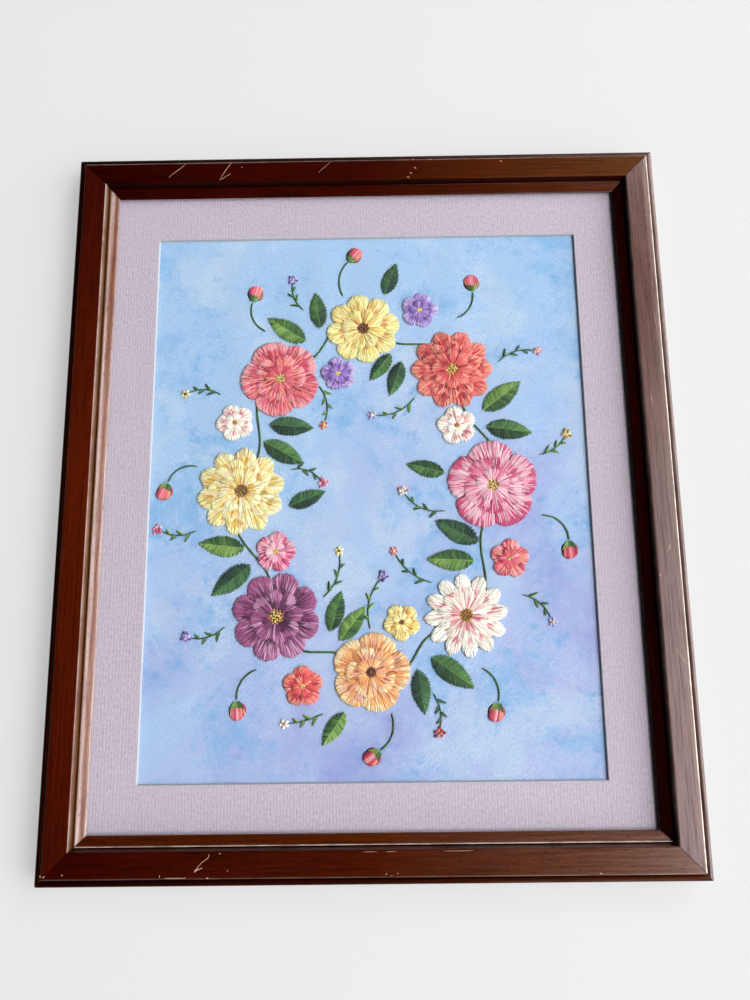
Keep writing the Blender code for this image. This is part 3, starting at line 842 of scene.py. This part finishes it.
class Motif:
    """Gathers one motif's stitches in its own level axes, then sews them into one mesh."""

    def __init__(self, name, place, turn, seed):
        self.name, self.place, self.turn = name, np.array(place), turn
        self.random = np.random.default_rng(seed)
        self.parts = []

    def laid(self, points):
        """The motif's own points (..., 3), z above the cloth's flat top, turned into place and onto its
        puckers."""
        cosine, sine = np.cos(self.turn), np.sin(self.turn)
        x = self.place[0] + points[..., 0] * cosine - points[..., 1] * sine
        y = self.place[1] + points[..., 0] * sine + points[..., 1] * cosine
        return np.stack([x, y, CLOTH_TOP + points[..., 2] + cloth_rise(x, y)], -1)

    def tubes(self, paths, half_widths, half_heights, colours, corners=5):
        """Tubes round laid paths, one colour each, whose dye varies a little from stitch to stitch."""
        points, faces, uv = tubes(self.laid(paths), half_widths, half_heights, corners)
        points[:, 2] = np.minimum(points[:, 2], STITCH_CEILING)
        shade = np.clip(self.random.normal(0.97, 0.13, (len(paths), 1)), 0.6, 1.3)
        dyed = np.clip(linear(colours) * shade, 0, 1)
        self.parts.append((points, faces, uv, np.repeat(dyed, paths.shape[1] * corners, axis=0)))

    def satin(self, heads, tails, colours, width=THREAD_WIDTH, dips=(0.3 * MM, 0.2 * MM), bow=0.0):
        """One stitch from each head to each tail (stitches, 3). It runs straight with a slight sideways bow
        of sin(pi s), its two ends dip by the square of what is left of the first and last fifth, and it
        thins there."""
        s = np.array([0, 0.07, 0.2, 0.5, 0.8, 0.93, 1])
        first = np.clip(1 - s / 0.2, 0, 1) ** 2
        last = np.clip((s - 0.8) / 0.2, 0, 1) ** 2
        paths = heads[:, None] * (1 - s[:, None]) + tails[:, None] * s[:, None]
        across = np.stack([heads[:, 1] - tails[:, 1], tails[:, 0] - heads[:, 0]], -1)
        paths[..., :2] += across[:, None] * (bow * np.sin(np.pi * s))[:, None]
        paths[..., 2] -= first * dips[0] + last * dips[1] + self.random.normal(0, 0.03 * MM, (len(heads), 1))
        size = self.random.uniform(0.9, 1.1, (len(heads), 1)) * (1 - 0.4 * np.maximum(first, last))
        self.tubes(paths, width / 2 * size, THREAD_HEIGHT / 2 * size, colours)

    def pad(self, edge, levels, colour):
        """The filling under stitches: its edge (spokes, 2) shrunk in rings towards the middle, at levels
        that run from the edge's to the middle's less a thread's height, with the outermost ring on the
        cloth, closed underneath."""
        reach = np.array([0.02, 0.35, 0.7, 0.93, 0.95])
        z = np.interp(reach, [0, 1], levels[::-1]) - THREAD_HEIGHT
        z[-1] = 0.02 * MM
        spokes = len(edge)
        flat = reach[:, None, None] * edge
        points = self.laid(np.dstack([flat, np.broadcast_to(z[:, None], flat.shape[:2])])).reshape(-1, 3)
        faces, rows, columns = grid_faces(len(reach), spokes, round_columns=True)
        ends = np.stack([np.arange(spokes)[::-1], (len(reach) - 1) * spokes + np.arange(spokes)])
        uv = [np.stack([rows, columns], -1) * 1.0, np.zeros((2, spokes, 2))]
        faces = [faces[:, ::-1], ends[:, ::-1]]
        self.parts.append((points, faces, uv, np.tile(linear(colour), (len(points), 1))))

    def knots(self, places, colours, size=0.62 * MM):
        """French knots: each is a thread wound twice round itself, a helix whose radius narrows as it
        rises."""
        s = np.linspace(0, 1, 15)
        start = self.random.uniform(0, TAU, (len(places), 1))
        scale = self.random.uniform(0.88, 1.15, (len(places), 1))
        radius = size * (1 - 0.55 * s) * scale
        around = start + 2 * TAU * s
        rise = size * (0.8 * s - 0.15) * scale
        paths = places[:, None] + np.stack([radius * np.cos(around), radius * np.sin(around), rise], -1)
        thick = np.broadcast_to(size * 0.48 * scale, radius.shape)
        self.tubes(paths, thick, thick * 0.9, colours, corners=4)

    def sew(self, slot, material, *nodes):
        """Joins the stitches into one mesh and settles it in place of its nodes."""
        starts = np.cumsum([0] + [len(part[0]) for part in self.parts])
        made = mesh_object(
            self.name,
            np.concatenate([part[0] for part in self.parts]),
            [faces + start for part, start in zip(self.parts, starts) for faces in part[1]],
            [uv for part in self.parts for uv in part[2]],
            np.concatenate([part[3] for part in self.parts]),
        )
        made.data.materials.append(material)
        settle(made, slot, *nodes)


def on_wreath(turn, out):
    """The point (..., 2) of the wreath's ellipse at that turn, moved out along its normal, and the normal's
    angle."""
    angle = np.radians(turn)
    normal = np.arctan2(np.sin(angle) / WREATH_HALF_HEIGHT, np.cos(angle) / WREATH_HALF_WIDTH)
    place = np.array([WREATH_HALF_WIDTH, WREATH_HALF_HEIGHT]) * toward(angle)
    place += np.multiply(out, MM)[..., None] * toward(normal)
    return place - [0, WINDOW_DROP], normal


def dyed(tints, share, random, mixing=0.11):
    """Thread colours picked from a list: share 0 is its first and 1 its last, and mixing scatters the picks,
    so that neighbouring threads interlock instead of blending."""
    spot = np.clip(share + random.normal(0, mixing, np.shape(share)), 0, 0.999) * len(tints)
    return np.array(tints, float)[spot.astype(int)]


def petal_ring(motif, width, ring, tints, levels, spacing=0.9 * MM):
    """One ring of petals in long-and-short stitch. Its rim is the outer share of half the width, less a
    notch between each two petals that deepens as the petal's own cosine falls. A place at share t of the way
    in lies between the rim and the inner reach, drawn in towards the petal's own line, and is highest along
    that line."""
    petals, half_turned, outer, inner, notch, blunt, rows = ring
    phase = half_turned * np.pi / petals

    def rim(angle):
        on_petal = np.abs(np.cos(petals * (angle - phase) / 2)) ** blunt
        return width / 2 * outer * (1 - notch * (1 - on_petal))

    def place(angle, t):
        line = np.round((angle - phase) * petals / TAU) * TAU / petals + phase
        aside = (angle - line) * petals / np.pi
        reach = rim(angle) * (1 - t) + width / 2 * inner * t
        turned = line + (angle - line) * (1 - 0.1 * t)
        z = levels[0] * (1 - t) + levels[1] * t + 0.3 * MM * (1 - aside**2) * (1 - t) - 0.2 * MM * aside**6
        return np.stack([reach * np.cos(turned), reach * np.sin(turned), z], -1), aside

    angle = TAU * np.arange(60) / 60
    edge = rim(angle)[:, None] * toward(angle)
    # Painted shade: the pad takes the second-darkest tint made darker still, so the gaps between stitches
    # read as shade
    motif.pad(edge, levels, np.array(tints[-2]) * 0.82)
    for row in range(rows):
        first = row / rows
        count = int(TAU * width / 2 * (outer * (1 - first) + inner * first) * 0.95 / spacing)
        angle = TAU * (np.arange(count) + motif.random.uniform(-0.2, 0.2, count)) / count
        ragged = motif.random.uniform(0, 0.8, (2, count)) / rows
        heads, aside = place(angle, first + (ragged[0] - 0.7 / rows if row else ragged[0] * 0.2 - 0.02))
        tails, _ = place(angle, np.minimum((row + 1) / rows + ragged[1], 1))
        petal = np.round((angle - phase) * petals / TAU).astype(int) % petals
        tone = motif.random.uniform(-0.12, 0.12, petals)[petal]
        share = (row + 0.45) / rows + tone + 0.14 * aside
        heads[:, 2] += 0.14 * MM * (row > 0)
        dip = 0.35 * MM if row == 0 else 0.04 * MM
        motif.satin(heads, tails, dyed(tints, share, motif.random), dips=(dip, 0.28 * MM), bow=0.02)


def spiral(count, radius, start=0.0):
    """Places packed in a disc, and the share of each one's number: the golden angle turns each on from the
    last, and its distance grows as the root of its number."""
    number = np.arange(count) + 0.5
    return radius * np.sqrt(number / count)[:, None] * toward(number * GOLDEN_ANGLE + start), number / count


def eye(motif, radius, level, colours, count):
    """Knots packed over a low dome, which falls as the square of the distance from its middle."""
    flat, share = spiral(count, radius)
    places = np.column_stack([flat, level - 0.2 * MM * share])
    motif.knots(places, dyed(colours, share, motif.random))


def flower(name, seed, kind, row, build, material):
    """A flower: rings of petals, each higher than the last, round an eye of knots."""
    turn, out, width_mm, own_turn, thread = row
    step, crown, eye_share, eye_level, knots = build
    width = width_mm * MM
    place, _ = on_wreath(turn, out)
    motif = Motif(name + "_stitches", place, np.radians(own_turn), seed)
    tints, heart = THREADS[thread]
    for number, ring in enumerate(RINGS[kind]):
        low = (LOWEST_RING + step * number) * MM
        petal_ring(motif, width, ring, tints, (low, low + crown * MM))
    eye(motif, eye_share * width / 2, eye_level * MM, heart, knots)
    motif.sew(f"thread_{thread}", material, name)


def leaf_half_width(x):
    """Half a leaf's width over its half length, at x from -1 at its root to 1 at its tip: powers of (1 + x)
    and of (1 - x), so that it is fullest behind its middle and runs out to a point."""
    return LEAF_SLENDERNESS * np.clip(1 + x, 0, 2) ** 0.62 * np.clip(1 - x, 0, 2) ** 0.88 / 1.03


def fishbone(motif, length, greens, pitch=1.0 * MM):
    """Fishbone stitch on a leaf along x: on either side of the midrib, stitches run forwards from it to the
    margin, a long one and a short one in turn, and the last ones meet in the tip. Stem stitch covers the
    midrib."""
    half = length / 2
    around = TAU * np.arange(32) / 32
    x = np.cos(around)
    edge = half * 0.96 * np.stack([x, np.sign(np.sin(around)) * leaf_half_width(x)], -1)
    # Painted shade: the pad takes the darkest green made darker still, so the gaps between stitches read as
    # shade
    motif.pad(edge, (0.5 * MM, 0.85 * MM), np.array(greens[-1]) * 0.6)
    steps = max(int(length / pitch), 7)
    u = np.linspace(0, 1, steps)
    for side, tone in ((1, 0.0), (-1, 0.42)):
        ahead = -0.95 + 1.95 * u**0.9
        ragged = 0.22 * MM * (-1.0) ** np.arange(steps) + motif.random.uniform(-0.2, 0.3, steps) * MM
        edge = np.maximum(half * leaf_half_width(ahead) + ragged, 0.1 * MM)
        heads = at_level(np.stack([half * ahead + 0.5 * ragged, side * edge], -1), 0.52 * MM)
        tails = np.stack([half * (-0.96 + 1.72 * u), np.full(steps, side * 0.08 * MM)], -1)
        tails = at_level(tails, 0.8 * MM)
        share = tone + 0.25 * motif.random.uniform(0, 1, steps) + 0.3 * (1 - u)
        motif.satin(heads, tails, dyed(greens, share, motif.random, 0.12), bow=side * 0.07)
    count = max(int(length / (3.0 * MM)), 3)
    rib = np.linspace(-1.06, 0.74, count + 1) * half
    ends = np.full(count, 0.94 * MM)
    heads = np.stack([rib[1:] + 0.5 * MM, np.full(count, 0.12 * MM), ends], -1)
    tails = np.stack([rib[:-1], np.full(count, -0.12 * MM), ends], -1)
    motif.satin(heads, tails, dyed(greens[:2], np.zeros(count), motif.random), width=0.7 * MM)


def leaf(count, row, material):
    turn, out, heading, length_mm = row
    root, normal = on_wreath(turn, out)
    lie = normal + np.radians(heading)
    place = root + length_mm / 2 * MM * toward(lie)
    motif = Motif(f"leaf_{count:02d}_stitches", place, lie, 200 + count)
    fishbone(motif, length_mm * MM, GREENS[count % len(GREENS)])
    motif.sew("thread_leaf_green", material, f"leaf_{count:02d}")


def stem_line(root, heading, length, curl):
    """Points along a stem whose heading turns evenly by curl: the running sum of equal steps."""
    turned = heading + curl * (np.arange(STEM_STEPS) + 1) / STEM_STEPS
    steps = length / STEM_STEPS * toward(turned)
    return np.concatenate([[root], root + np.cumsum(steps, 0)]), turned[-1]


def stem_stitches(motif, line, tints, stitch=3.4 * MM, width=0.95 * MM, level=0.35 * MM):
    """Stem stitch along a line of points: each stitch starts half a stitch on, a little to one side, and
    ends a little to the other."""
    run = np.concatenate([[0], np.cumsum(np.linalg.norm(np.diff(line, axis=0), axis=1))])
    start = np.arange(0, run[-1] - stitch * 0.6, stitch * 0.5)
    end = np.minimum(start + stitch, run[-1])

    def at(distance, aside):
        here, before, after = (
            np.stack([np.interp(distance + shift, run, line[:, axis]) for axis in (0, 1)], -1)
            for shift in (0, -0.3 * MM, 0.3 * MM)
        )
        ahead = after - before
        ahead /= np.linalg.norm(ahead, axis=-1, keepdims=True)
        flat = here + np.stack([-ahead[:, 1], ahead[:, 0]], -1) * aside
        return at_level(flat, level)

    dye = dyed(tints, motif.random.uniform(0, 1, len(start)), motif.random, 0)
    motif.satin(at(start, 0.22 * MM), at(end, -0.22 * MM), dye, width=width)


def sprig(count, row, material):
    """A stem-stitched stem, and on its tip a bud in satin stitch in a green cup."""
    turn, out, heading, length, curl, width_mm = row
    root, normal = on_wreath(turn, out)
    line, last = stem_line(root, normal + np.radians(heading), length * MM, np.radians(curl))
    stem = Motif(f"stem_{count}_stitches", (0, 0), 0, 300 + count)
    stem_stitches(stem, line, STEM_GREENS, width=1.1 * MM)
    stem.sew("thread_stem_green", material, f"stem_{count}")
    width = width_mm * MM
    place = line[-1] + (width / 2 + 0.6 * MM) * toward(last)
    bud = Motif(f"bud_{count}_stitches", place, last, 400 + count)
    petals, notch, blunt = BUD_OUTLINE
    tints, _ = THREADS["rose"]
    angle = TAU * np.arange(24) / 24
    rim = width / 2 * (1 - notch * (1 - np.abs(np.cos(petals * angle / 2)) ** blunt))
    bud.pad(rim[:, None] * toward(angle), (0.5 * MM, 0.9 * MM), tints[-1])
    across = np.linspace(-0.43, 0.43, 12)
    top = np.sqrt(0.26 - across**2) * (0.96 + 0.08 * np.cos(3 * np.arccos(across)))
    level = 0.6 * MM + 1.2 * MM * (0.25 - across**2)
    heads = np.column_stack([top * width, across * 0.9 * width, level])
    tails = np.column_stack([-0.40 * top * width, across * 0.7 * width, level])
    bud.satin(heads, tails, dyed(tints, 0.1 + 1.6 * np.abs(across), bud.random), dips=(0.4 * MM, 0.2 * MM))
    cup = np.linspace(-0.40, 0.40, 8)
    point = 0.10 - 0.5 * np.abs(np.abs(cup) - 0.2)
    tips = np.column_stack([point * width, cup * width, 0.85 * MM - np.abs(cup) * MM])
    feet = np.column_stack([np.full(8, -0.49 * width), cup * 0.35 * width, np.full(8, 0.6 * MM)])
    bud.satin(tips, feet, dyed(GREENS[0], np.linspace(0.1, 0.9, 8), bud.random), dips=(0.1 * MM, 0.3 * MM))
    bud.sew("thread_rose", material, f"bud_{count}")


def make_vine(material):
    """A vine in stem stitch under the flowers: the wreath's ellipse, swung in and out by a sine of its
    turn."""
    turn = np.linspace(0, 360, 241)
    swing = 7 * np.sin(np.radians(8 * turn + 30))
    line, _ = on_wreath(turn, swing)
    vine = Motif("vine_stitches", (0, 0), 0, 500)
    stem_stitches(vine, line, STEM_GREENS, stitch=4.2 * MM, width=1.35 * MM, level=0.3 * MM)
    vine.sew("thread_stem_green", material)


def make_sprays(material):
    """Small sprays off the vine: a curling stem with pairs of small leaves and a head of knots or a little
    flower of five straight stitches round a knot."""
    stems = Motif("spray_stems_stitches", (0, 0), 0, 600)
    heads = Motif("spray_flowers_stitches", (0, 0), 0, 601)
    for count, (turn, out, heading, length, curl, thread) in enumerate(SPRAYS):
        root, normal = on_wreath(turn, out)
        line, last = stem_line(root, normal + np.radians(heading), length * MM, np.radians(curl))
        stem_stitches(stems, line, STEM_GREENS, width=0.8 * MM)
        ahead = np.gradient(line, axis=0)
        lie = np.arctan2(ahead[:, 1], ahead[:, 0])
        greens = GREENS[count % len(GREENS)]
        for step in range(2, STEM_STEPS - 1, 2):
            side = 1 if step % 4 else -1
            way = toward(lie[step] + side * 0.75)
            across = np.array([-way[1], way[0]])
            size = (7.5 - 0.35 * step) * MM
            offset = np.array([-0.55, -0.18, 0.18, 0.55]) * MM
            spread = offset[:, None] * across
            tips = line[step] + size * way + spread * 0.5 - np.abs(offset)[:, None] * way * 2
            feet = line[step] + 0.5 * MM * way + spread * 1.1
            dye = dyed(greens, np.array([0.1, 0.2, 0.6, 0.8]), stems.random)
            tips, feet = at_level(tips, 0.5 * MM), at_level(feet, 0.5 * MM)
            stems.satin(tips, feet, dye, width=0.85 * MM, bow=0.05 * side)
        tints, heart = THREADS[thread]
        tip = line[-1]
        if count % 2:
            flat, share = spiral(9, 3.3 * MM, count)
            places = at_level(tip + 2.4 * MM * toward(last) + flat, 0.5 * MM)
            heads.knots(places, dyed(tints, share, heads.random), 0.8 * MM)
        else:
            angle = np.repeat(TAU * np.arange(5) / 5 + last, 3) + np.tile([-0.2, 0.0, 0.2], 5)
            centre = tip + 3.0 * MM * toward(last)
            reach = np.tile([2.9, 3.3, 2.9], 5)[:, None] * MM
            rim = at_level(centre + toward(angle) * reach, 0.55 * MM)
            foot = at_level(centre + toward(angle) * 0.7 * MM, 0.55 * MM)
            dye = dyed(tints, np.tile([0.2, 0.0, 0.4], 5), heads.random)
            heads.satin(rim, foot, dye, width=0.95 * MM)
            heads.knots(np.array([[*centre, 0.75 * MM]]), np.array(heart[:1], float), 0.8 * MM)
    stems.sew("thread_leaf_green", material)
    heads.sew("thread_rose", material)


def make_stitches():
    thread = thread_finish()
    make_vine(thread)
    make_sprays(thread)
    for count, (kind, *row) in enumerate(BLOOMS, 1):
        flower(f"bloom_{count}", count, kind, row, BLOOM_BUILD, thread)
    for count, row in enumerate(BLOSSOMS, 1):
        flower(f"blossom_{count}", 100 + count, "blossom", row, BLOSSOM_BUILD, thread)
    for count, row in enumerate(LEAVES, 1):
        leaf(count, row, thread)
    for count, row in enumerate(SPRIGS, 1):
        sprig(count, row, thread)


# Studio

CAMERA_PLACE = (0.0077, -0.1076, 0.5237)
CAMERA_TURN = (11.138, 0.560, -0.682)
CAMERA_LENS = 28.97


def make_camera():
    lens = bpy.data.cameras.new("camera")
    lens.lens = CAMERA_LENS
    lens.sensor_width = 36
    lens.clip_start = 0.01
    camera = bpy.data.objects.new("camera", lens)
    camera.location = CAMERA_PLACE
    camera.rotation_euler = np.radians(CAMERA_TURN)
    bpy.context.scene.collection.objects.link(camera)
    bpy.context.scene.camera = camera


def soft_light(name, place, size, power):
    """A rectangle of light that faces the origin."""
    light = bpy.data.lights.new(name, "AREA")
    light.shape = "RECTANGLE"
    light.size, light.size_y = size
    light.energy = power
    made = bpy.data.objects.new(name, light)
    made.location = place
    x, y, z = place
    made.rotation_euler = (np.pi / 2 - np.arctan2(z, np.hypot(x, y)), 0, np.arctan2(x, -y))
    bpy.context.scene.collection.objects.link(made)


def make_studio():
    """A pale floor that runs out of view, a backdrop round it that only the camera sees, whose radius
    shrinks by the square of its rise, a key light from the right, a low sheen panel and a dim surround."""
    size = 6.0
    corners = np.array([(-1, -1, 0), (1, -1, 0), (1, 1, 0), (-1, 1, 0)]) * size
    floor = mesh_object("floor", corners, [np.array([[0, 1, 2, 3]])], smooth=False)
    paper = Finish("lit_table", roughness=0.9, emission_strength=0.49)
    grain = paper.clouds(300)
    paper.colour(paper.mix(grain, (138, 138, 138), (139, 139, 139)))
    paper.shader.inputs["Emission Color"].default_value = (1, 1, 1, 1)
    floor.data.materials.append(paper.material)
    angle, rise = np.meshgrid(np.linspace(0, TAU, 49), np.linspace(0, 1, 13))
    radius = size * (0.97 - 0.6 * rise**2)
    height = size * (1.4 * rise - 0.02)
    points = np.stack([radius * np.cos(angle), radius * np.sin(angle), height], -1)
    faces, _, _ = grid_faces(*angle.shape)
    sweep = mesh_object("backdrop", points.reshape(-1, 3), [faces[:, ::-1]])
    pale = Finish("pale_backdrop", roughness=1.0, specular_ior_level=0.0, emission_strength=0.8)
    pale.shader.inputs["Emission Color"].default_value = (1, 1, 1, 1)
    pale.shader.inputs["Base Color"].default_value = (0, 0, 0, 1)
    sweep.data.materials.append(pale.material)
    for ray in ("diffuse", "glossy", "transmission", "shadow"):
        setattr(sweep, "visible_" + ray, False)
    soft_light("window", (4.4, -0.9, 3.2), (6.5, 5.8), 780)
    soft_light("key", (2.26, 2.7, 2.29), (1.0, 1.0), 55)
    soft_light("front", (0.9, -3.2, 1.5), (0.8, 0.8), 20)
    world = bpy.data.worlds.new("surround")
    world.use_nodes = True
    world.node_tree.nodes["Background"].inputs["Color"].default_value = (1, 1, 1, 1)
    world.node_tree.nodes["Background"].inputs["Strength"].default_value = 0.02
    bpy.context.scene.world = world
    bpy.context.scene.view_settings.view_transform = "Standard"


make_camera()
make_studio()
make_rails()
make_scratches()
make_mat()
make_cloth()
finish_plain_nodes()
make_stitches()
